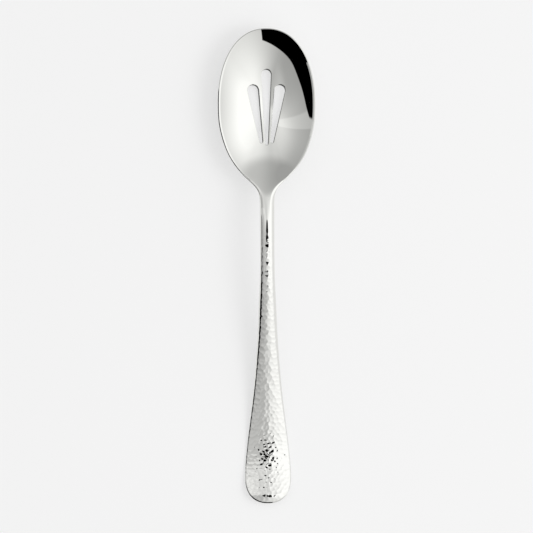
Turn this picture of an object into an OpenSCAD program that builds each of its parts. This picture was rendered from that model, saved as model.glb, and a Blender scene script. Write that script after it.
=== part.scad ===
// Slotted serving spoon, forged from one steel blank: a pierced oval bowl, a narrow arched
// neck and a handle that widens to a rounded end. It lies on its bowl and on the heel of its
// handle, hollow upwards, with the tip of the bowl towards +Y.

/* [Bowl] */
// Length from the tip to the throat, where the neck begins
bowl_l = 90; // [84:1:105]
// Width at the widest place
bowl_w = 51.2; // [42:0.2:62]
// Distance from the tip back to the widest and deepest place
bowl_front_l = 40; // [33:1:48]
// Depth of the hollow below the rim
bowl_depth = 11.5; // [9:0.5:14]
// Thickness of the metal under the deepest place
bowl_wall = 1.8; // [1.4:0.1:2.4]
// Width of the narrow land that runs round the rim
rim_land = 1.2; // [0.9:0.1:1.5]
// Fall of the land from its inner side to its outer side
rim_fall = 0.2; // [0.1:0.05:0.4]
// Height of the upright edge outside the land
rim_edge = 0.5; // [0.3:0.05:0.8]

/* [Drain slots] */
// Length of the middle slot over its round ends
middle_slot_l = 40; // [30:0.5:46]
// Distance from the tip of the bowl to the head of the middle slot
middle_slot_at = 21.3; // [17:0.1:26]
// Radius of the head of the middle slot
middle_head_r = 2.75; // [2.2:0.05:3.3]
// Distance from the tip of the bowl to the centre of a side slot's head
side_head_at = 32.4; // [28:0.1:38]
// Distance from the tip of the bowl to the centre of a side slot's foot
side_foot_at = 59.2; // [50:0.1:64]
// Distance from the middle line to the centre of a side slot's head
side_head_x = 7.1; // [6.6:0.05:8.6]
// Distance from the middle line to the centre of a side slot's foot
side_foot_x = 2.9; // [2.7:0.05:3.6]
// Radius of the head of a side slot
side_head_r = 3; // [2.4:0.05:3.5]
// Radius of the narrow foot of every slot
slot_foot_r = 1; // [0.8:0.05:1.2]

/* [Neck] */
// Length of the plain neck, from the throat to the hammered handle
neck_l = 22; // [20:1:32]
// Width of the neck
neck_w = 7.6; // [6:0.1:10]
// Thickness of the neck along its middle line
neck_t = 6; // [5:0.1:7]
// Distance from the throat to the top of the arch
crest_at = 18; // [15:1:22]
// Height of the top of the arch above the table
crest_h = 21; // [18:0.5:26]

/* [Handle] */
// Length of the handle, from the neck to its end
handle_l = 138; // [115:1:165]
// Width at the widest place, near the end
handle_w = 24.2; // [18:0.2:30]
// Thickness of the wide end along its middle line
handle_t = 3; // [2.6:0.1:3.5]
// Rise of the hammered top above its edges at the wide end
handle_crown = 1.7; // [1:0.1:1.8]
// Width of the rounding along the edge of the handle
side_round = 0.7; // [0.5:0.05:1]
// Height of that rounding
side_fall = 0.55; // [0.4:0.05:0.6]
// Length of the rounded end
end_round_l = 13.5; // [11:0.5:18]
// Distance from the end to the heel, the place that rests on the table
heel_at = 25; // [20:1:30]
// Lift of the very end above the heel
end_lift = 2.9; // [1.5:0.1:3.5]

/* [Hidden] */

spoon_l = bowl_l + neck_l + handle_l;
rim_h = bowl_wall + bowl_depth;
// Places along the spoon are distances from the tip of the bowl.
throat_at = bowl_l;
handle_from = bowl_l + neck_l;
arch_top_at = throat_at + crest_at;
round_from = spoon_l - end_round_l;
heel_from = spoon_l - heel_at;

// Fullness of the oval front of the bowl and of the handle's end, where 2 is a true ellipse
front_power = 2.2;
end_power = 2.3;

// Cells from the middle line to the edge's rounding and cells in that rounding, rows along each
// stretch and rows round each rounded end
crown_cells = 10;
round_cells = 3;
half_cells = crown_cells + round_cells;
tip_rows = 18;
back_rows = 26;
neck_rows = 10;
handle_rows = 36;
end_rows = 12;

// How far the middle line still advances, as a share of the outline's advance, in the fan of
// rows round a rounded end
fan_share = 0.12;

// Side of the bowl from its widest place to the throat: share of the way, share of the swell
// beyond the neck's half width
bowl_side_shares = [
    [0, 1],
    [0.22, 0.97],
    [0.41, 0.862],
    [0.54, 0.742],
    [0.66, 0.563],
    [0.79, 0.292],
    [0.85, 0.148],
    [0.92, 0.038],
    [1, 0]
];
// Side of the handle from the neck to the rounded end, in the same way
handle_side_shares = [
    [0, 0],
    [0.12, 0.01],
    [0.25, 0.08],
    [0.38, 0.155],
    [0.5, 0.275],
    [0.63, 0.44],
    [0.755, 0.655],
    [0.88, 0.885],
    [1, 1]
];
// Middle line of the top from the deepest place up to the top of the arch
rise_shares = [
    [0, 0],
    [0.143, 0.04],
    [0.286, 0.157],
    [0.429, 0.354],
    [0.514, 0.512],
    [0.6, 0.684],
    [0.686, 0.833],
    [0.757, 0.924],
    [0.829, 0.973],
    [0.914, 0.994],
    [1, 1]
];
// Middle line of the top from the arch down to the heel
fall_shares = [
    [0, 0],
    [0.086, 0.004],
    [0.172, 0.028],
    [0.276, 0.1],
    [0.388, 0.23],
    [0.517, 0.42],
    [0.647, 0.62],
    [0.776, 0.81],
    [0.888, 0.945],
    [1, 1]
];
// Depth of the hollow from the widest place to the throat
hollow_shares = [
    [0, 1],
    [0.2, 0.934],
    [0.4, 0.75],
    [0.6, 0.496],
    [0.72, 0.313],
    [0.84, 0.13],
    [0.92, 0.035],
    [1, 0]
];
// Bend of the lifted end, where 1 is straight and 2 a parabola
lift_power = 1.5;
// Where the metal gathers from the thin bowl into the thick neck: from a share of the back of
// the bowl before the throat to a share of the neck behind it, slowly at first
gather_before = 0.6;
gather_after = 0.45;
gather_power = 1.3;
// Section of the neck, almost round: the width of the rounding on each side as a share of half
// the width, then the crown inside it, the fall of the rounding and the rise of the underside
// as shares of the thickness
neck_round_share = 0.5;
neck_crown_share = 0.095;
neck_fall_share = 0.265;
neck_belly_share = 0.18;

function half(v) = v / 2;

function within(t) = min(1, max(0, t));

function ease(t) = let (u = within(t)) u * u * (3 - 2 * u);

function mix(from, to, share) = from + (to - from) * share;

// Smooth curve through the rows of a table, level at both ends
function step_at(table, t, i = 0) =
    i >= len(table) - 2 || t < table[i + 1][0] ? i : step_at(table, t, i + 1);

function slope_at(table, i) =
    i == 0 || i == len(table) - 1
        ? 0
        : (table[i + 1][1] - table[i - 1][1]) / (table[i + 1][0] - table[i - 1][0]);

function curve(table, t) =
    let (
        u = within(t),
        i = step_at(table, u),
        run = table[i + 1][0] - table[i][0],
        f = (u - table[i][0]) / run,
        lift = table[i + 1][1] - table[i][1]
    )
    table[i][1]
        + lift * ease(f)
        + run * slope_at(table, i) * f * (1 - f) * (1 - f)
        - run * slope_at(table, i + 1) * f * f * (1 - f);

// Heights and thicknesses at a distance s from the tip
function gather(s) =
    let (
        from = throat_at - gather_before * (throat_at - bowl_front_l),
        to = throat_at + gather_after * neck_l
    )
    pow(ease((s - from) / (to - from)), gather_power);

function thinning(s) = ease((s - handle_from) / (heel_from - handle_from));

function rising(s) = curve(rise_shares, (s - bowl_front_l) / (arch_top_at - bowl_front_l));

function falling(s) = curve(fall_shares, (s - arch_top_at) / (heel_from - arch_top_at));

function lifting(s) = pow(max(0, s - heel_from) / heel_at, lift_power);

function spine_z(s) =
    s < bowl_front_l
        ? bowl_wall + bowl_depth * pow((bowl_front_l - s) / (bowl_front_l - rim_land), 2)
        : s <= arch_top_at
            ? mix(bowl_wall, crest_h, rising(s))
            : mix(crest_h, handle_t, falling(s)) + end_lift * lifting(s);

function crown(s) = mix(neck_crown_share * neck_t * gather(s), handle_crown, thinning(s));

function hollow(s) = bowl_depth * curve(hollow_shares, (s - bowl_front_l) / (throat_at - bowl_front_l));

function land_z(s) = s <= bowl_front_l ? rim_h : spine_z(s) + hollow(s) - crown(s);

function metal(s) = mix(mix(bowl_wall, neck_t, gather(s)), handle_t, thinning(s));

function belly(s) = neck_belly_share * neck_t * gather(s) * (1 - thinning(s));

function land(s) =
    mix(mix(rim_land, neck_round_share * half(neck_w), gather(s)), side_round, thinning(s));

// Fall over the rounding: its own, and what the crown's slope carries on
function fall(s) = mix(mix(rim_fall, neck_fall_share * neck_t, gather(s)), side_fall, thinning(s));

function carry(s) = crown(s) * (pow(side_x(s) / (side_x(s) - land(s)), 2) - 1);

function side_h(s) =
    mix(rim_edge, metal(s) - crown(s) - carry(s) - fall(s) - belly(s), gather(s));

// Half width at a distance s from the tip, between the two rounded ends
function bowl_swell(s) = curve(bowl_side_shares, (s - bowl_front_l) / (throat_at - bowl_front_l));

function handle_swell(s) = curve(handle_side_shares, (s - handle_from) / (round_from - handle_from));

function side_x(s) =
    s <= throat_at
        ? mix(half(neck_w), half(bowl_w), bowl_swell(s))
        : mix(half(neck_w), half(handle_w), handle_swell(s));

// Lean of the side against the middle line
function side_lean(s) =
    let (probe = half(neck_w) / neck_rows)
    s <= bowl_front_l || s >= throat_at ? 0 : (side_x(s + probe) - side_x(s - probe)) / (2 * probe);

// A row holds the outer edge [x, s], the inner side of the land or rounding [x, s], the place
// of the middle line, the heights of the middle top, the land's inner side, the edge's foot and
// the middle bottom, and the two falls over the rounding
function plain_row(s) =
    let (
        lean = side_lean(s),
        reach = land(s) / sqrt(1 + lean * lean)
    )
    row([side_x(s), s], [side_x(s) - reach, s + reach * lean], s, s);

// Rows that fan round the tip of the bowl or round the handle's end. The turn goes from 0 at
// the side to 90 at the very end.
function fan_row(turn, centre, reach, width, power) =
    let (
        x = width * pow(cos(turn), 2 / power),
        along = reach * pow(sin(turn), 2 / power),
        nx = pow(x / width, power - 1) / width,
        ns = pow(along / reach, power - 1) / abs(reach),
        size = sqrt(nx * nx + ns * ns),
        step = land(centre),
        s = centre + along
    )
    row(
        [x, s],
        [turn == 90 ? 0 : x - step * nx / size, s - sign(reach) * step * ns / size],
        centre + fan_share * along,
        s
    );

function row(edge, land_in, spine, s) =
    [
        edge,
        land_in,
        spine,
        spine_z(spine),
        land_z(s),
        land_z(s) - carry(s) - fall(s) - side_h(s),
        spine_z(spine) - metal(s),
        carry(s),
        fall(s)
    ];

function place(x, s, z) = [x, half(spoon_l) - s, z];

// Point i of a row's top or bottom, counted from the middle line to either side
function top_point(r, i) =
    let (
        f = min(1, abs(i) / crown_cells),
        turn = 90 * max(0, abs(i) - crown_cells) / round_cells,
        out = sin(turn)
    )
    place(
        sign(i) * mix(f * r[1][0], r[0][0], out),
        mix(mix(r[2], r[1][1], f), r[0][1], out),
        mix(r[3], r[4], f * f) - r[7] * out - r[8] * (1 - cos(turn))
    );

function bottom_point(r, i) =
    let (f = abs(i) / half_cells)
    place(sign(i) * f * r[0][0], mix(r[2], r[0][1], f), mix(r[6], r[5], f * f));

// Closed skin over a list of rows. The last row may be the very end, where both sides share
// the same points. ahead is true when the rows run towards the tip of the bowl.
module blank(rows, ends_round, ahead) {
    wide = 2 * half_cells + 1;
    last = len(rows) - 1;
    lower = len(rows) * wide;

    function at(j, i) = j * wide + half_cells + (ends_round && j == last ? max(1, abs(i)) : i);

    function cell(a, b, c, d, i) = i < 0 ? [[a, d, b], [d, c, b]] : [[a, d, c], [a, c, b]];

    // Two triangles from the four corners of a cell, a to d counted round it
    function pair(a, b, c, d) = [[a, b, c], [a, c, d]];

    function reversed(f) = [f[2], f[1], f[0]];

    points = concat(
        [for (r = rows) for (i = [-half_cells : half_cells]) top_point(r, i)],
        [for (r = rows) for (i = [-half_cells : half_cells]) bottom_point(r, i)]
    );
    skin = [
        for (j = [0 : last - 1])
            for (i = [-half_cells : half_cells - 1])
                for (f = cell(at(j, i), at(j, i + 1), at(j + 1, i + 1), at(j + 1, i), i))
                    if (f[0] != f[1] && f[1] != f[2])
                        f
    ];
    edges = [
        for (j = [0 : last - 1])
            for (i = [-half_cells, half_cells])
                for (f = pair(at(j, i), at(j, i) + lower, at(j + 1, i) + lower, at(j + 1, i)))
                    i < 0 ? f : reversed(f)
    ];
    flat_ends = [
        for (j = ends_round ? [0] : [0, last])
            for (i = [-half_cells : half_cells - 1])
                for (f = pair(at(j, i), at(j, i + 1), at(j, i + 1) + lower, at(j, i) + lower))
                    j == 0 ? f : reversed(f)
    ];
    under = [for (f = skin) reversed(f + [lower, lower, lower])];
    faces = concat(skin, under, edges, flat_ends);
    polyhedron(points, ahead ? faces : [for (f = faces) reversed(f)]);
}

// Outline of one drain slot: a round head at the origin and a smaller round foot a run away
// towards -Y, joined by the two straight lines that touch both circles
module slot_outline(head_r, foot_r, run) {
    lean = asin((head_r - foot_r) / run);
    right = [
        [head_r * cos(lean), -head_r * sin(lean)],
        [foot_r * cos(lean), -run - foot_r * sin(lean)]
    ];

    circle(r = head_r, $fn = 48);
    translate([0, -run])
        circle(r = foot_r, $fn = 32);
    polygon([
        right[0],
        right[1],
        [-right[1][0], right[1][1]],
        [-right[0][0], right[0][1]]
    ]);
}

// The three punched slots, spread like a fan, cut straight down through the bowl
module slots() {
    side_run = norm([side_foot_at - side_head_at, side_head_x - side_foot_x]);
    side_turn = atan2(side_head_x - side_foot_x, side_foot_at - side_head_at);

    linear_extrude(height = rim_h) {
        translate([0, half(spoon_l) - middle_slot_at - middle_head_r])
            slot_outline(middle_head_r, slot_foot_r, middle_slot_l - middle_head_r - slot_foot_r);
        for (side = [-1, 1])
            translate([side * side_head_x, half(spoon_l) - side_head_at])
                rotate(-side * side_turn)
                    slot_outline(side_head_r, slot_foot_r, side_run);
    }
}

module bowl() {
    back = throat_at - bowl_front_l;
    rear = [for (j = [0 : back_rows - 1]) plain_row(throat_at - back * j / back_rows)];
    front = [
        for (j = [0 : tip_rows])
            fan_row(90 * j / tip_rows, bowl_front_l, -bowl_front_l, half(bowl_w), front_power)
    ];

    color("whitesmoke")
        difference() {
            blank(concat(rear, front), true, true);
            translate([0, 0, -rim_edge])
                slots();
        }
}

module neck() {
    color("silver")
        blank([for (j = [0 : neck_rows]) plain_row(throat_at + neck_l * j / neck_rows)], false, false);
}

module handle() {
    straight = round_from - handle_from;
    shank = [for (j = [0 : handle_rows - 1]) plain_row(handle_from + straight * j / handle_rows)];
    end = [
        for (j = [0 : end_rows])
            fan_row(90 * j / end_rows, round_from, end_round_l, half(handle_w), end_power)
    ];

    color("gainsboro")
        blank(concat(shank, end), true, false);
}

bowl();
neck();
handle();
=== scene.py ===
import math

import bpy
import numpy as np
from mathutils.geometry import delaunay_2d_cdt
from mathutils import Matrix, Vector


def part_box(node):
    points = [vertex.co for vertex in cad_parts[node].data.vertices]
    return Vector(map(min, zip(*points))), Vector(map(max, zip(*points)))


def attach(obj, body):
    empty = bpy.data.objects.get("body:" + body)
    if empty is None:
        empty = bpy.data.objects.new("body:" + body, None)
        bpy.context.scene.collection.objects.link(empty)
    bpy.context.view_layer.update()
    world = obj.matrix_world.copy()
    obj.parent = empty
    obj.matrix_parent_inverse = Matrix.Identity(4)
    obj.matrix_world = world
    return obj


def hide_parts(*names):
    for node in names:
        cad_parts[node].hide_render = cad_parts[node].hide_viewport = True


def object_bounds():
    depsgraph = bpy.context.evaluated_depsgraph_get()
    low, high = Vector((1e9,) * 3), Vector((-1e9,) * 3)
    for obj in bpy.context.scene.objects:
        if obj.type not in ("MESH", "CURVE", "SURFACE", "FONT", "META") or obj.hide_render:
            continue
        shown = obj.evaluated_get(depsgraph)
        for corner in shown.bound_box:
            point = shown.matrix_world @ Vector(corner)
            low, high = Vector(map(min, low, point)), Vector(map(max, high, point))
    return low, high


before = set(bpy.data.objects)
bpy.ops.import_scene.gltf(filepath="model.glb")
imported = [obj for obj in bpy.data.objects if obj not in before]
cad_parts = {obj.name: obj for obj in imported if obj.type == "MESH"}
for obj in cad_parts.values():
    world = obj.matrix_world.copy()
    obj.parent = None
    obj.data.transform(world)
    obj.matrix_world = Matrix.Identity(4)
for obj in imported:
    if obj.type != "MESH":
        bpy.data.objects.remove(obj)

cad_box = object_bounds()

# The spoon is forged and stamped from one bar of stainless steel, and then polished. So its skin
# is worked out in one go and divided into bowl, neck and handle at the end of this section.
# Places along it are distances from the tip of the bowl, in millimetres, and z is up.
MM = 0.001
tip_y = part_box("bowl")[1].y / MM
throat_at = tip_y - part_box("bowl")[0].y / MM
handle_from = tip_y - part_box("handle")[1].y / MM
spoon_length = tip_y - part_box("handle")[0].y / MM
bowl_half_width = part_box("bowl")[1].x / MM
handle_half_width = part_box("handle")[1].x / MM
neck_half_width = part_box("neck")[1].x / MM
arch_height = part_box("neck")[1].z / MM
widest_at = 40.0
hollow_depth = 11.5
floor_thickness = 1.8
land_width = 1.2
front_power = 2.2
end_power = 2.3
end_round_length = 13.5
heel_at = spoon_length - 25.0
heel_thickness = 3.0
end_rolls_from = 245.4
end_roll_radius = 4.0
end_roll_slope = 0.5


def smooth_curve(stations, first_slope=0.0, last_slope=0.0):
    """A curve with no kink in it or in its bend, through a list of (place, value)."""
    x, y = np.array(stations, float).T
    h = np.diff(x)
    lift = np.diff(y)
    count = len(x)
    system = np.eye(count)
    known = np.zeros(count)
    known[0], known[-1] = first_slope, last_slope
    for i in range(1, count - 1):
        system[i, i - 1 : i + 2] = (1 / h[i - 1], 2 / h[i - 1] + 2 / h[i], 1 / h[i])
        known[i] = 3 * (lift[i - 1] / h[i - 1] ** 2 + lift[i] / h[i] ** 2)
    slope = np.linalg.solve(system, known)

    def at(place):
        p = np.clip(np.asarray(place, float), x[0], x[-1])
        i = np.clip(np.searchsorted(x, p, side="right") - 1, 0, count - 2)
        f = (p - x[i]) / h[i]
        return (
            y[i]
            + lift[i] * f * f * (3 - 2 * f)
            + h[i] * slope[i] * f * (1 - f) ** 2
            - h[i] * slope[i + 1] * f * f * (1 - f)
        )

    return at


def along_front(place):
    """Share of the way from the widest place to the tip."""
    return (widest_at - place) / widest_at


inner_front = widest_at - land_width
front_places = (0.0, 10.0, 20.0, 30.0, 40.0, 50.0, 60.0)
middle_line = smooth_curve(
    [
        (s, floor_thickness + hollow_depth * ((widest_at - s) / inner_front) ** 2)
        for s in front_places
    ]
    + [(70, 8.6), (76, 11.65), (82, 14.95), (88, 17.9), (93, 19.6), (98, 20.5), (103, 20.86)]
    + [(108, arch_height - 0.02), (114, 20.87), (120, 20.55), (130, 19.7), (142, 18.1)]
    + [(155, 15.7), (170, 12.4), (185, 9.05), (200, 6.05), (213, 3.95), (219, 3.23)]
    + [(heel_at, heel_thickness), (231, 3.25), (237, 4.08), (243, 5.1), (250, 6.25)],
    -2 * hollow_depth * widest_at / inner_front**2,
    0.164,
)
side_line = smooth_curve(
    [(widest_at, bowl_half_width), (51, 24.95), (60.5, 22.6), (67, 19.95), (73, 16.1), (79.5, 10.2)]
    + [(82.8, 6.75), (86, 4.7), (throat_at, 3.9), (95, neck_half_width), (125, neck_half_width)]
    + [(135, 4.05), (143, 4.45), (159, 5.1), (174.5, 6.1), (190.3, 7.45), (206, 9.25)]
    + [(221.8, 11.1), (spoon_length - end_round_length, handle_half_width)]
)
bowl_bend = hollow_depth / (bowl_half_width - land_width) ** 2
front_flattening = 0.25
top_bend = smooth_curve(
    [(s, bowl_bend * (1 - front_flattening * along_front(s) ** 2)) for s in (0, 10, 20, 30, 40)]
    + [(50, 0.0188), (60, 0.0185), (70, 0.0197), (76, 0.0212), (82, 0.02), (86, 0.008)]
    + [(90, -0.02), (95, -0.045), (100, -0.057), (112, -0.063), (127, -0.072), (143, -0.074)]
    + [(160, -0.062), (175, -0.043), (190, -0.029), (206, -0.0185), (218, -0.0125), (236, -0.0115)]
    + [(250, -0.012)],
    0.0005,
)
thickness = smooth_curve(
    [(0, 1.52), (10, 1.64), (20, 1.73), (30, 1.78), (40, floor_thickness), (60, 1.8), (70, 2.1)]
    + [(80, 3.2), (86, 4.4), (90, 5.2), (95, 5.8), (100, 6.0), (112, 5.9), (127, 5.5), (143, 5.0)]
    + [(160, 4.5), (175, 4.0), (190, 3.6), (206, 3.2), (heel_at, heel_thickness), (250, 3.0)]
)
under_bend = smooth_curve(
    [(s, 0.0191 * (1 - front_flattening * along_front(s) ** 2)) for s in (0, 10, 20, 30, 40)]
    + [(50, 0.019), (60, 0.0192), (70, 0.0214), (76, 0.027), (82, 0.045), (86, 0.06), (90, 0.06)]
    + [(95, 0.05), (100, 0.04), (112, 0.04), (143, 0.02), (175, 0.006), (206, 0.001), (250, 0)]
)
# The edge: round the bowl a narrow lip, a little flatter than the hollow, and outside that a
# rounding that is small at the lip, wide and almost a bevel on the neck, narrower on the handle.
lip_width = 0.8
lip_slope = 0.64
lip_ends_from, lip_ends_at, lip_end_width = 66, 86, 0.06
round_width = smooth_curve(
    [(0, 0.48), (66, 0.48), (76, 0.65), (84, 1.4), (90, 2.2), (95, 2.4), (115, 2.3), (143, 1.85)]
    + [(160, 1.6), (175, 1.3), (200, 0.85), (226, 0.65), (250, 0.65)]
)
round_drop = smooth_curve(
    [(0, 0.43), (66, 0.43), (76, 0.55), (84, 1.05), (90, 1.7), (95, 1.95), (115, 1.8), (143, 1.2)]
    + [(160, 1.0), (175, 0.85), (200, 0.5), (226, 0.37), (240, 0.37), (250, 0.36)]
)
round_power = smooth_curve(
    [(0, 1.1), (68, 1.1), (76, 1.2), (90, 1.5), (143, 1.5), (175, 1.5), (200, 1.25)]
    + [(226, 1.15), (250, 1.15)]
)
edge_under = smooth_curve(
    [(0, 0.25), (68, 0.25), (76, 0.4), (82, 0.8), (86, 1.4), (90, 2.0), (95, 2.4), (112, 2.4)]
    + [(143, 1.6), (175, 1.1), (206, 0.8), (226, 0.6), (250, 0.6)]
)


def rise(value, low, high):
    """From 0 at low to 1 at high, level at both."""
    share = np.clip((np.asarray(value, float) - low) / (high - low), 0, 1)
    return share * share * (3 - 2 * share)


def top_height(x, s):
    past = np.maximum(0, s - end_rolls_from)
    reach = end_roll_slope * end_roll_radius
    roll = end_roll_slope * (np.hypot(past, reach) - reach)
    return middle_line(s) + top_bend(s) * x * x - roll


def under_height(x, s):
    return middle_line(s) - thickness(s) + under_bend(s) * x * x


# Rows across the blank, from the tip to the handle's end. In the two rounded ends they fan
# out from the middle line. Each row keeps its edge point, the outward direction there and the
# place of the middle line.
fan_share = 0.12
tip_turns = np.radians(np.linspace(90, 0, 61)[:-1])
end_turns = np.radians(np.linspace(0, 90, 41)[1:])


def fan(turns, centre, reach, width, power):
    """Rows of one rounded end, a superellipse that starts at centre and reaches its end point."""
    x = width * np.cos(turns) ** (2 / power)
    forward = abs(reach) * np.sin(turns) ** (2 / power)
    nx = (x / width) ** (power - 1) / width
    ns = (forward / abs(reach)) ** (power - 1) / abs(reach) * np.sign(reach)
    size = np.hypot(nx, ns)
    s = centre + np.sign(reach) * forward
    return np.stack([x, s, nx / size, ns / size, centre + fan_share * (s - centre)], 1)


bowl_step, neck_step, handle_rows = 0.8, 0.4, 420
straight_places = np.concatenate(
    [
        np.arange(widest_at, throat_at - 0.01, bowl_step),
        np.arange(throat_at, handle_from - 0.01, neck_step),
        np.linspace(handle_from, spoon_length - end_round_length, handle_rows),
    ]
)
probe = 0.05
lean = (side_line(straight_places + probe) - side_line(straight_places - probe)) / (2 * probe)
lean[np.isin(straight_places, (throat_at, handle_from))] = 0
size = np.hypot(1, lean)
straight = np.stack(
    [side_line(straight_places), straight_places, 1 / size, -lean / size, straight_places], 1
)
rows = np.concatenate(
    [
        fan(tip_turns, widest_at, -widest_at, bowl_half_width, front_power),
        straight,
        fan(
            end_turns,
            spoon_length - end_round_length,
            end_round_length,
            handle_half_width,
            end_power,
        ),
    ]
)
rows[0, 0] = rows[-1, 0] = 0.0
rows[0, 2:4] = (0, -1)
rows[-1, 2:4] = (0, 1)

top_shares = np.concatenate([np.linspace(0, 0.97, 40), [0.985, 0.995, 1.0]])
lip_shares = np.array([0.03, 0.3, 0.6, 0.94, 0.97, 1.0])
round_turns = np.radians(np.linspace(0, 90, 13)[1:])
under_turns = np.radians(np.linspace(0, 90, 9)[1:])
under_shares = np.linspace(1, 0, 17)[1:]
slope_step = 0.01


def ring(row):
    """Right half of a row's section, from the middle of the top round to the middle below."""
    x, s, nx, ns, spine = row
    outward = np.array([nx, ns])
    shaping = float(rise(s, lip_ends_from, lip_ends_at))
    lip = lip_width * (1 - shaping) + lip_end_width * shaping
    rounding = float(round_width(s))
    inner = np.array([x, s]) - (lip + rounding) * outward
    middle = np.array([0.0, spine])
    plan = middle + top_shares[:, None] * (inner - middle)
    top = np.column_stack([plan, top_height(plan[:, 0], plan[:, 1])])

    ahead = inner + slope_step * outward
    slope = shaping * float(top_height(*ahead) - top_height(*inner)) / slope_step
    rising = (1 - shaping) * lip_slope * lip * lip_shares
    plan = inner + lip * lip_shares[:, None] * outward
    strip = np.column_stack([plan, top[-1, 2] + slope * lip * lip_shares + rising])

    power = float(round_power(s))
    out = np.sin(round_turns) ** (2 / power)
    fall = float(round_drop(s)) * (1 - np.cos(round_turns) ** (2 / power))
    plan = inner + (lip + rounding * out)[:, None] * outward
    edge = np.column_stack([plan, strip[-1, 2] + slope * rounding * out - fall])

    under_width = float(edge_under(s))
    plan = np.array([x, s]) - under_width * (1 - np.cos(under_turns))[:, None] * outward
    gap = edge[-1, 2] - under_height(x, s)
    turned = under_height(plan[:, 0], plan[:, 1]) + gap * (1 - np.sin(under_turns))
    roll = np.column_stack([plan, turned])

    inward = np.array([x, s]) - under_width * outward
    plan = middle + under_shares[:, None] * (inward - middle)
    below = np.column_stack([plan, under_height(plan[:, 0], plan[:, 1])])
    return np.concatenate([top, strip, edge, roll, below])


rings = np.array([ring(row) for row in rows])
top_count = len(top_shares)
edge_count = top_count + len(lip_shares) + len(round_turns)
roll_count = edge_count + len(under_turns)
half_count = rings.shape[1]
row_count = len(rows)
around = 2 * (half_count - 1)
throat_row = int(np.argmin(abs(rows[:, 1] - throat_at)))
handle_row = int(np.argmin(abs(rows[:, 1] - handle_from)))

# Hammer marks. Each blow leaves a shallow round dish, and the ridges between the dishes are
# rubbed soft in the polishing. They fade out into the plain neck.
blow_spacing = 2.3
blow_radius = 8.6
blow_softness = 0.005
blow_level = 0.05
blow_spread = 16.0
blows_begin, blows_full = handle_from - 7, handle_from + 2
luck = np.random.default_rng(7)
blow_rows = np.arange(handle_from - 6, spoon_length + 4, blow_spacing * 0.87)
blows = []
for count, place in enumerate(blow_rows):
    shift = (count % 2) * blow_spacing / 2
    for x in np.arange(-blow_spread, blow_spread + 0.1, blow_spacing) + shift:
        blows.append((x, place))
blows = np.array(blows)
blows += luck.uniform(-0.32, 0.32, blows.shape) * blow_spacing
blow_depth = luck.uniform(0.0, 0.025, len(blows))
blow_flat = luck.uniform(0.75, 1.25, len(blows)) / (2 * blow_radius)


def hammered(x, s):
    """How far the hammered surface lies below the plain one."""
    a = x[:, None] - blows[None, :, 0]
    b = s[:, None] - blows[None, :, 1]
    dish = (a * a + b * b) * blow_flat - blow_depth
    least = dish.min(1)
    nearness = np.exp(-(dish - least[:, None]) / blow_softness).sum(1)
    return least - blow_softness * np.log(nearness)


full = np.zeros((row_count, around, 3))
full[:, :half_count] = rings
full[:, half_count:] = rings[:, -2:0:-1] * (-1, 1, 1)
fade = rise(rows[:, 1], blows_begin, blows_full)
columns = np.arange(around)
columns = np.minimum(columns, around - columns)
reach = np.clip((edge_count - columns) / (edge_count - top_count), 0, 1)
for r in np.flatnonzero(fade > 0):
    on_top = columns < edge_count
    x, s = full[r, on_top, 0], full[r, on_top, 1]
    dip = hammered(x, s)
    full[r, on_top, 2] += fade[r] * reach[on_top] * (dip - blow_level)

points = full.reshape(-1, 3)
ids = np.arange(row_count * around).reshape(row_count, around)
for r in (0, row_count - 1):
    ids[r, half_count:] = ids[r, half_count - 2 : 0 : -1]

# The drain slots. Each is a long drop: a round head and a narrow round foot, with straight
# sides between. Each is written as head, head radius, foot, foot radius. They are punched from
# above a little aslant, which leaves rough walls, painted near black as painted shade, and the
# polishing bevels their upper edges.
middle_slot = ((0.0, 24.05), 2.75, (0.0, 60.3), 1.0)
right_slot = ((7.1, 32.4), 3.0, (2.9, 59.2), 1.0)
left_slot = ((-7.1, 32.4), 3.0, (-2.9, 59.2), 1.0)
slot_bevel = 0.2
bevel_lean = 0.8
slot_under_round = 0.1
punch_lean = (-0.42, 0.34)


def slot_line(slot, grow=0.0):
    """The outline of a slot, or a line that distance outside it."""
    head, head_r, foot, foot_r = slot
    head, foot = np.array(head), np.array(foot)
    along = head - foot
    length = np.hypot(*along)
    along = along / length
    across = np.array([-along[1], along[0]])
    lean = math.pi / 2 + math.asin((head_r - foot_r) / length)
    head_turns = np.linspace(-lean, lean, 37)
    foot_turns = np.linspace(lean, 2 * math.pi - lean, 17)

    def arc(centre, r, turns):
        facing = np.cos(turns)[:, None] * along + np.sin(turns)[:, None] * across
        return centre + (r + grow) * facing

    head_arc, foot_arc = arc(head, head_r, head_turns), arc(foot, foot_r, foot_turns)
    shares = np.linspace(0, 1, 34)[1:-1, None]
    down = head_arc[-1] + shares * (foot_arc[0] - head_arc[-1])
    up = foot_arc[-1] + shares * (head_arc[0] - foot_arc[-1])
    return np.concatenate([head_arc, down, foot_arc, up])


def inside(places, line):
    """Which of the places lie inside a closed line."""
    x, y = places[:, 0, None], places[:, 1, None]
    x1, y1 = line.T
    x2, y2 = np.roll(line, -1, 0).T
    crosses = (y1 > y) != (y2 > y)
    with np.errstate(divide="ignore", invalid="ignore"):
        at = x1 + (y - y1) / (y2 - y1) * (x2 - x1)
    return (crosses & (x < at)).sum(1) % 2 == 1


extra_points = []
faces = []
plain_normals = {}


def add_points(new_points):
    start = len(points) + len(extra_points)
    extra_points.extend(np.asarray(new_points).tolist())
    return np.arange(start, start + len(new_points))


def slope_normals(places, height, sign):
    """Which way a plain surface faces at each place: sign 1 above, -1 below."""
    e = 0.02
    x, s = places[:, 0], places[:, 1]
    dx = (height(x + e, s) - height(x - e, s)) / (2 * e)
    ds = (height(x, s + e) - height(x, s - e)) / (2 * e)
    normals = np.column_stack([-dx, -ds, np.ones(len(x))]) * sign
    return normals / np.linalg.norm(normals, axis=1)[:, None]


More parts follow.
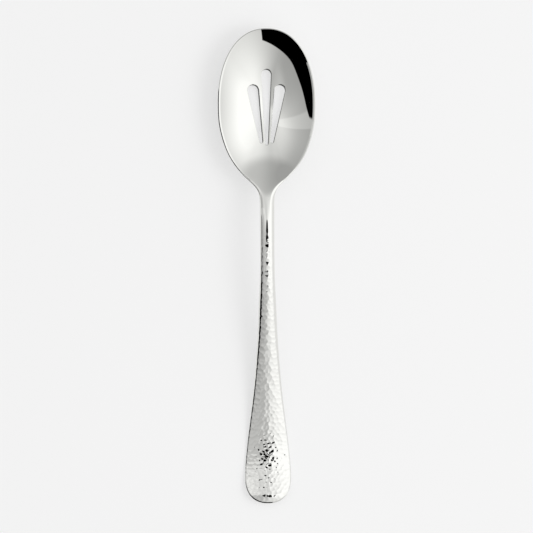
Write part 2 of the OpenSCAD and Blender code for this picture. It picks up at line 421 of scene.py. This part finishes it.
slots_end_before = 68
pierced_until = int(np.argmin(abs(rows[:, 1] - slots_end_before)))
top_column, top_spacing = 35, 0.95
under_column, under_spacing = roll_count + 1, 1.5
sheet_half_width, sheet_from, sheet_to = 26, 0.5, 70
least_turn = 1e-5


def pierced_sheet(column, height, sign, spacing, loops):
    """The middle of the bowl, above or below, with the slots left open."""
    right = ids[: pierced_until + 1, column]
    left = ids[1 : pierced_until + 1, (around - column) % around]
    if sign > 0:
        cross = ids[pierced_until, np.arange(column - 1, -column, -1) % around]
    else:
        cross = ids[pierced_until, np.arange(column + 1, around - column)]
    border = np.concatenate([right, cross, left[::-1]])
    border_places = points[border][:, :2]
    x, s = np.meshgrid(
        np.arange(-sheet_half_width, sheet_half_width + 0.1, spacing),
        np.arange(sheet_from, sheet_to, spacing),
    )
    grid = np.column_stack([x.ravel(), s.ravel()])
    grid = grid[inside(grid, border_places)]
    gap = np.hypot(*(grid[:, None] - border_places[None]).transpose(2, 0, 1)).min(1)
    grid = grid[gap > 0.55 * spacing]
    loop_places = []
    shift = (0, 0) if sign > 0 else punch_lean
    for slot, grow, loop in loops:
        line = slot_line(slot, grow) + shift
        grid = grid[~inside(grid, slot_line(slot, grow + 0.45 * spacing) + shift)]
        loop_places.append(line)
    grid_ids = add_points(np.column_stack([grid, height(grid[:, 0], grid[:, 1])]))
    all_ids = np.concatenate([border] + [loop for _, _, loop in loops] + [grid_ids])
    places = np.concatenate([border_places] + loop_places + [grid])
    edges = []
    start = 0
    for count in [len(border)] + [len(line) for line in loop_places]:
        edges += [(start + i, start + (i + 1) % count) for i in range(count)]
        start += count
    result = delaunay_2d_cdt(places.tolist(), edges, [], 0, 1e-6)
    old = [origin[0] for origin in result[3]]
    triangles = np.array([[old[v] for v in face] for face in result[2]])
    middles = places[triangles].mean(1)
    keep = inside(middles, border_places)
    for line in loop_places:
        keep &= ~inside(middles, line)
    triangles = triangles[keep]
    a, b, c = places[triangles].transpose(1, 0, 2)
    turn = (b[:, 0] - a[:, 0]) * (c[:, 1] - a[:, 1]) - (b[:, 1] - a[:, 1]) * (c[:, 0] - a[:, 0])
    triangles, turn = triangles[abs(turn) > least_turn], turn[abs(turn) > least_turn]
    flip = turn * sign > 0
    triangles[flip] = triangles[flip][:, ::-1]
    faces.extend(tuple(face) for face in all_ids[triangles])
    for i, normal in zip(grid_ids, slope_normals(grid, height, sign)):
        plain_normals[i] = normal


wall_faces = set()
top_loops, under_loops = [], []
bevel_shares = (0, 0.04, 0.2, 0.4, 0.6, 0.8, 0.96, 1)
for slot in (middle_slot, right_slot, left_slot):
    loops = []
    outer = slot_line(slot, slot_bevel)
    outer_top = top_height(outer[:, 0], outer[:, 1])
    outward = outer - slot_line(slot)
    bevel_normals = np.column_stack([-bevel_lean * outward / slot_bevel, np.ones(len(outer))])
    bevel_normals /= math.hypot(1, bevel_lean)
    for share in bevel_shares:
        grow = slot_bevel * (1 - share)
        line = slot_line(slot, grow)
        drop = slot_bevel * share * bevel_lean
        loops.append(add_points(np.column_stack([line, outer_top - drop])))
        if share == 0:
            plain_normals.update(zip(loops[0], slope_normals(line, top_height, 1)))
            top_loops.append((slot, grow, loops[0]))
        elif share < 1:
            plain_normals.update(zip(loops[-1], bevel_normals))
    for turn in np.radians(np.linspace(0, 90, 5)):
        grow = slot_under_round * (1 - math.cos(turn))
        line = slot_line(slot, grow) + punch_lean
        z = under_height(line[:, 0], line[:, 1]) + slot_under_round * (1 - math.sin(turn))
        loops.append(add_points(np.column_stack([line, z])))
    for i, normal in zip(loops[-1], slope_normals(line, under_height, -1)):
        plain_normals[i] = normal
    under_loops.append((slot, grow, loops[-1]))
    for band, (upper, lower) in enumerate(zip(loops, loops[1:]), 1):
        count = len(upper)
        for i in range(count):
            j = (i + 1) % count
            # The wall band's faces later take the near-black painted shade.
            if band == len(bevel_shares):
                wall_faces.add(len(faces))
            faces.append((upper[j], upper[i], lower[i], lower[j]))

pierced_sheet(top_column, top_height, 1, top_spacing, top_loops)
pierced_sheet(under_column, under_height, -1, under_spacing, under_loops)

# The rest of the skin: four-sided faces from row to row, outside the pierced sheets.
for r in range(row_count - 1):
    for c in range(around):
        d = (c + 1) % around
        near = max(min(c, around - c), min(d, around - d))
        far = min(min(c, around - c), min(d, around - d))
        if r < pierced_until and (near <= top_column or far >= under_column):
            continue
        corners = [ids[r, d], ids[r, c], ids[r + 1, c], ids[r + 1, d]]
        kept = []
        for v in corners:
            if v not in kept:
                kept.append(v)
        if len(kept) > 2:
            faces.append(tuple(kept))

all_points = np.concatenate([points, np.array(extra_points)])
place_of = all_points[:, 1]
lowest = cad_box[0][2] / MM
all_points = np.column_stack(
    [all_points[:, 0], tip_y - place_of, np.maximum(all_points[:, 2], lowest)]
)

# Normals: from the faces, and where the surface is plain straight from its own formula.
normals = np.zeros_like(all_points)
for corner_count in (3, 4):
    group = np.array([face for face in faces if len(face) == corner_count])
    a, b, c, d = (all_points[group[:, k % corner_count]] for k in (0, 1, 2, 3))
    if corner_count == 3:
        turned = np.cross(b - a, c - a)
    else:
        turned = np.cross(c - a, d - b)
    for k in range(corner_count):
        np.add.at(normals, group[:, k], turned)
lengths = np.linalg.norm(normals, axis=1)
normals[lengths > 0] /= lengths[lengths > 0, None]
plain_rows = handle_row - 20
for row_range, column_range, height, sign in (
    (np.arange(0, plain_rows), np.arange(0, top_count - 1), top_height, 1),
    (np.arange(0, row_count), np.arange(roll_count, half_count), under_height, -1),
):
    both_sides = np.concatenate([column_range, (-column_range) % around])
    chosen = np.unique(ids[np.ix_(row_range, both_sides)])
    places = points[chosen][:, :2]
    for i, normal in zip(chosen, slope_normals(places, height, sign)):
        plain_normals[i] = normal
for i, normal in plain_normals.items():
    normals[i] = (normal[0], -normal[1], normal[2])


def forged_piece(name, first_row, last_row):
    """One length of the spoon as its own object, closed by a flat face where it is divided."""
    low, high = rows[first_row, 1] - 0.001, rows[last_row, 1] + 0.001
    if first_row == 0:
        low = -1.0
    if last_row == row_count - 1:
        high = spoon_length + 1.0
    numbers = [i for i, face in enumerate(faces) if all(low <= place_of[v] <= high for v in face)]
    chosen = [faces[i] for i in numbers]
    flats = []
    if first_row > 0:
        flats.append((ids[first_row], (0, 1, 0)))
    if last_row < row_count - 1:
        flats.append((ids[last_row][::-1], (0, -1, 0)))
    used = sorted({v for face in chosen for v in face} | {v for flat, _ in flats for v in flat})
    number = {v: i for i, v in enumerate(used)}
    mesh_faces = [[number[v] for v in face] for face in chosen]
    corner_normals = [normals[v] for face in chosen for v in face]
    for flat, facing in flats:
        mesh_faces.append([number[v] for v in flat])
        corner_normals += [facing] * len(flat)
    mesh = bpy.data.meshes.new(name)
    mesh.from_pydata((all_points[used] * MM).tolist(), [], mesh_faces)
    mesh.polygons.foreach_set("use_smooth", [True] * len(mesh.polygons))
    # Slot wall faces take the second material, whose near-black colour is painted shade.
    painted_shade_of = [int(i in wall_faces) for i in numbers] + [0] * len(flats)
    mesh.polygons.foreach_set("material_index", painted_shade_of)
    mesh.normals_split_custom_set(corner_normals)
    piece = bpy.data.objects.new(name, mesh)
    bpy.context.scene.collection.objects.link(piece)
    return piece


# The polish of bowl and neck, the same over the hammer marks, and the rough slot walls, whose
# near-black colour is painted shade standing for the shade and dark reflections in them.
# Hair-fine wipe marks along the spoon blur what the steel mirrors a little.
wipe_scale = (900, 60, 900)


def steel(name, colour, roughness):
    material = bpy.data.materials.new(name)
    material.use_nodes = True
    nodes, links = material.node_tree.nodes, material.node_tree.links
    shader = nodes["Principled BSDF"]
    shader.inputs["Metallic"].default_value = 1.0
    shader.inputs["Base Color"].default_value = (*colour, 1)
    place = nodes.new("ShaderNodeTexCoord")
    stretch = nodes.new("ShaderNodeMapping")
    stretch.inputs["Scale"].default_value = wipe_scale
    wipe = nodes.new("ShaderNodeTexNoise")
    wipe.inputs["Scale"].default_value = 1.0
    wipe.inputs["Detail"].default_value = 3.0
    links.new(place.outputs["Object"], stretch.inputs["Vector"])
    links.new(stretch.outputs["Vector"], wipe.inputs["Vector"])
    spread = nodes.new("ShaderNodeMapRange")
    spread.inputs["To Min"].default_value = roughness * 0.7
    spread.inputs["To Max"].default_value = roughness * 1.4
    links.new(wipe.outputs["Fac"], spread.inputs["Value"])
    links.new(spread.outputs["Result"], shader.inputs["Roughness"])
    return material


mirror_steel = steel("mirror_steel", (0.80, 0.803, 0.775), 0.02)
hammered_steel = steel("hammered_steel", (0.80, 0.80, 0.775), 0.02)
# Rough slot walls: their near-black colour is painted shade, not the steel's own colour.
slot_wall_painted_shade = steel("slot_wall_painted_shade", (0.07, 0.07, 0.07), 0.4)

# The bowl: an oval hollow with three drain slots, as far as the throat.
bowl = forged_piece("spoon_bowl", 0, throat_row)
bowl.data.materials.append(mirror_steel)
bowl.data.materials.append(slot_wall_painted_shade)
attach(bowl, "root")
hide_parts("bowl")

# The neck: narrow, thick and arched, with a rounded top.
neck = forged_piece("spoon_neck", throat_row, handle_row)
neck.data.materials.append(mirror_steel)
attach(neck, "root")
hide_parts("neck")

# The handle: it widens and thins to a rounded, lifted end, and its top is hammered.
handle = forged_piece("spoon_handle", handle_row, row_count - 1)
handle.data.materials.append(hammered_steel)
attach(handle, "root")
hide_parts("handle")

# The table is a large sheet of matt white paper. It takes the spoon's shadow, and part of its
# paleness is a glow that only the camera and the steel see.
table_size = 6.0
table_glow = 0.6
bpy.ops.mesh.primitive_plane_add(size=table_size)
table = bpy.context.object
table.name = "table"
paper = bpy.data.materials.new("white_paper")
paper.use_nodes = True
nodes, links = paper.node_tree.nodes, paper.node_tree.links
paper_shader = nodes["Principled BSDF"]
paper_shader.inputs["Base Color"].default_value = (0.92, 0.92, 0.92, 1)
paper_shader.inputs["Roughness"].default_value = 0.9
paper_shader.inputs["Specular IOR Level"].default_value = 0.1
glow = nodes.new("ShaderNodeEmission")
glow.inputs["Color"].default_value = (0.93, 0.93, 0.93, 1)
ray = nodes.new("ShaderNodeLightPath")
seen = nodes.new("ShaderNodeMath")
seen.operation = "MAXIMUM"
links.new(ray.outputs["Is Camera Ray"], seen.inputs[0])
links.new(ray.outputs["Is Glossy Ray"], seen.inputs[1])
glow_share = nodes.new("ShaderNodeMath")
glow_share.operation = "MULTIPLY"
glow_share.inputs[1].default_value = table_glow
links.new(seen.outputs[0], glow_share.inputs[0])
blend = nodes.new("ShaderNodeMixShader")
links.new(glow_share.outputs[0], blend.inputs["Fac"])
links.new(paper_shader.outputs["BSDF"], blend.inputs[1])
links.new(glow.outputs["Emission"], blend.inputs[2])
links.new(blend.outputs["Shader"], nodes["Material Output"].inputs["Surface"])
table.data.materials.append(paper)

# The studio: white walls, brightest on the right and darker on the left, with a dark corner on
# the near left and the camera overhead, which the steel mirrors black. Its brightness is worked
# out for each direction, whose parts are to_right, away and up.
world = bpy.data.worlds.new("studio")
bpy.context.scene.world = world
world.use_nodes = True
nodes, links = world.node_tree.nodes, world.node_tree.links
nodes.clear()
place = nodes.new("ShaderNodeTexCoord")
split = nodes.new("ShaderNodeSeparateXYZ")
links.new(place.outputs["Generated"], split.inputs["Vector"])
to_right, away, up = split.outputs


def worked(first, operation, second):
    node = nodes.new("ShaderNodeMath")
    node.operation = operation
    for socket, value in zip(node.inputs, (first, second)):
        if isinstance(value, (int, float)):
            socket.default_value = value
        else:
            links.new(value, socket)
    return node.outputs[0]


def plus(first, second):
    return worked(first, "ADD", second)


def minus(first, second):
    return worked(first, "SUBTRACT", second)


def times(first, second):
    return worked(first, "MULTIPLY", second)


def ramp(value, low, high, start, end, form="LINEAR"):
    """From start to end while the value goes from low to high."""
    node = nodes.new("ShaderNodeMapRange")
    node.interpolation_type = form
    links.new(value, node.inputs["Value"])
    for name, number in (("From Min", low), ("From Max", high), ("To Min", start), ("To Max", end)):
        node.inputs[name].default_value = number
    return node.outputs["Result"]


def soft_ramp(value, low, high, start, end):
    return ramp(value, low, high, start, end, "SMOOTHSTEP")


# Which way a direction faces along the ground, however steep it is.
ground_reach = plus(plus(times(to_right, to_right), times(away, away)), 0.0025)
facing_right = worked(to_right, "DIVIDE", worked(ground_reach, "POWER", 0.5))
facing_away = worked(away, "DIVIDE", worked(ground_reach, "POWER", 0.5))

# The walls, and the ceiling's glow at the far left.
level = plus(ramp(facing_right, -0.5, 1.0, 0.53, 1.26), ramp(facing_right, -1.0, -0.5, 0.12, 0.0))
far_left = times(
    soft_ramp(facing_away, 0.0, 0.6, 0.0, 0.25), soft_ramp(facing_right, -0.6, -0.1, 1.0, 0.0)
)
level = plus(level, times(far_left, soft_ramp(up, 0.3, 0.8, 0.0, 1.0)))
level = plus(level, soft_ramp(facing_away, 0.0, 0.5, 0.0, 0.06))
level = times(level, soft_ramp(away, 0.66, 0.8, 1.0, 0.72))

# They darken towards the floor, less so on the lamp's side.
to_lamp = soft_ramp(plus(facing_right, times(facing_away, 0.25)), 0.75, 1.0, 1.0, 1.6)
level = times(level, ramp(times(up, to_lamp), 0.15, 0.8, 0.7, 1.0))
near_left = plus(times(facing_right, -0.883), times(facing_away, -0.469))
near_left = times(soft_ramp(near_left, 0.82, 1.0, 0.0, 0.22), soft_ramp(up, 0.68, 0.84, 1.0, 0.0))
level = times(level, minus(1.0, near_left))
level = worked(level, "MAXIMUM", 0.42)

# The pale beam along the left wall.
beam_low = plus(away, times(up, -0.268))
beam_high = plus(plus(away, times(up, -0.309)), times(to_right, 0.178))
on_left = soft_ramp(to_right, -0.45, -0.3, 1.0, 0.0)
beam = times(
    soft_ramp(beam_low, -0.01, 0.02, 0.0, 1.0), soft_ramp(beam_high, -0.01, 0.01, 1.0, 0.0)
)
level = plus(level, times(times(beam, on_left), 0.12))

# The dark corner, and the camera.
corner_height = minus(plus(times(away, -0.79), times(to_right, -0.25)), up)
corner = soft_ramp(corner_height, -0.006, 0.006, 0.0, 1.0)
corner_side = minus(times(away, -0.14), to_right)
corner = times(corner, soft_ramp(corner_side, -0.006, 0.006, 0.0, 1.0))
corner = times(corner, soft_ramp(facing_away, 0.095, 0.125, 1.0, 0.0))
level = times(level, minus(1.0, corner))
level = times(level, soft_ramp(up, 0.9885, 0.992, 1.0, 0.0))

light = nodes.new("ShaderNodeBackground")
light.inputs["Color"].default_value = (1, 1, 1, 1)
links.new(level, light.inputs["Strength"])
backdrop = nodes.new("ShaderNodeBackground")
backdrop.inputs["Color"].default_value = (0.9, 0.9, 0.9, 1)
ray = nodes.new("ShaderNodeLightPath")
choose = nodes.new("ShaderNodeMixShader")
links.new(ray.outputs["Is Camera Ray"], choose.inputs["Fac"])
links.new(light.outputs["Background"], choose.inputs[1])
links.new(backdrop.outputs["Background"], choose.inputs[2])
out = nodes.new("ShaderNodeOutputWorld")
links.new(choose.outputs["Shader"], out.inputs["Surface"])

# A large soft lamp high up on the right, which throws the spoon's shadow to the left. It isn't
# seen in the steel.
lamp_data = bpy.data.lights.new("soft_lamp", "AREA")
lamp_data.shape = "DISK"
lamp_data.size = 0.8
lamp_data.energy = 6
lamp = bpy.data.objects.new("soft_lamp", lamp_data)
lamp.location = (1.0, -0.1, 1.2)
lamp.rotation_euler = (-lamp.location).to_track_quat("-Z", "Y").to_euler()
lamp.visible_glossy = False
bpy.context.scene.collection.objects.link(lamp)

# The camera hangs straight overhead on a long lens, turned a hair to the right. The width of
# its frame is measured at frame_height over the table.
camera_height = 4.0
frame_width = 0.2805
frame_height = 0.008
sensor_width = 36
camera_data = bpy.data.cameras.new("overhead")
camera_data.sensor_width = sensor_width
camera_data.lens = sensor_width * (camera_height - frame_height) / frame_width
camera = bpy.data.objects.new("overhead", camera_data)
camera.location = (-0.00039, -0.00026, camera_height)
camera.rotation_euler = (0, 0, -0.004)
bpy.context.scene.collection.objects.link(camera)
bpy.context.scene.camera = camera
bpy.context.scene.view_settings.view_transform = "Standard"
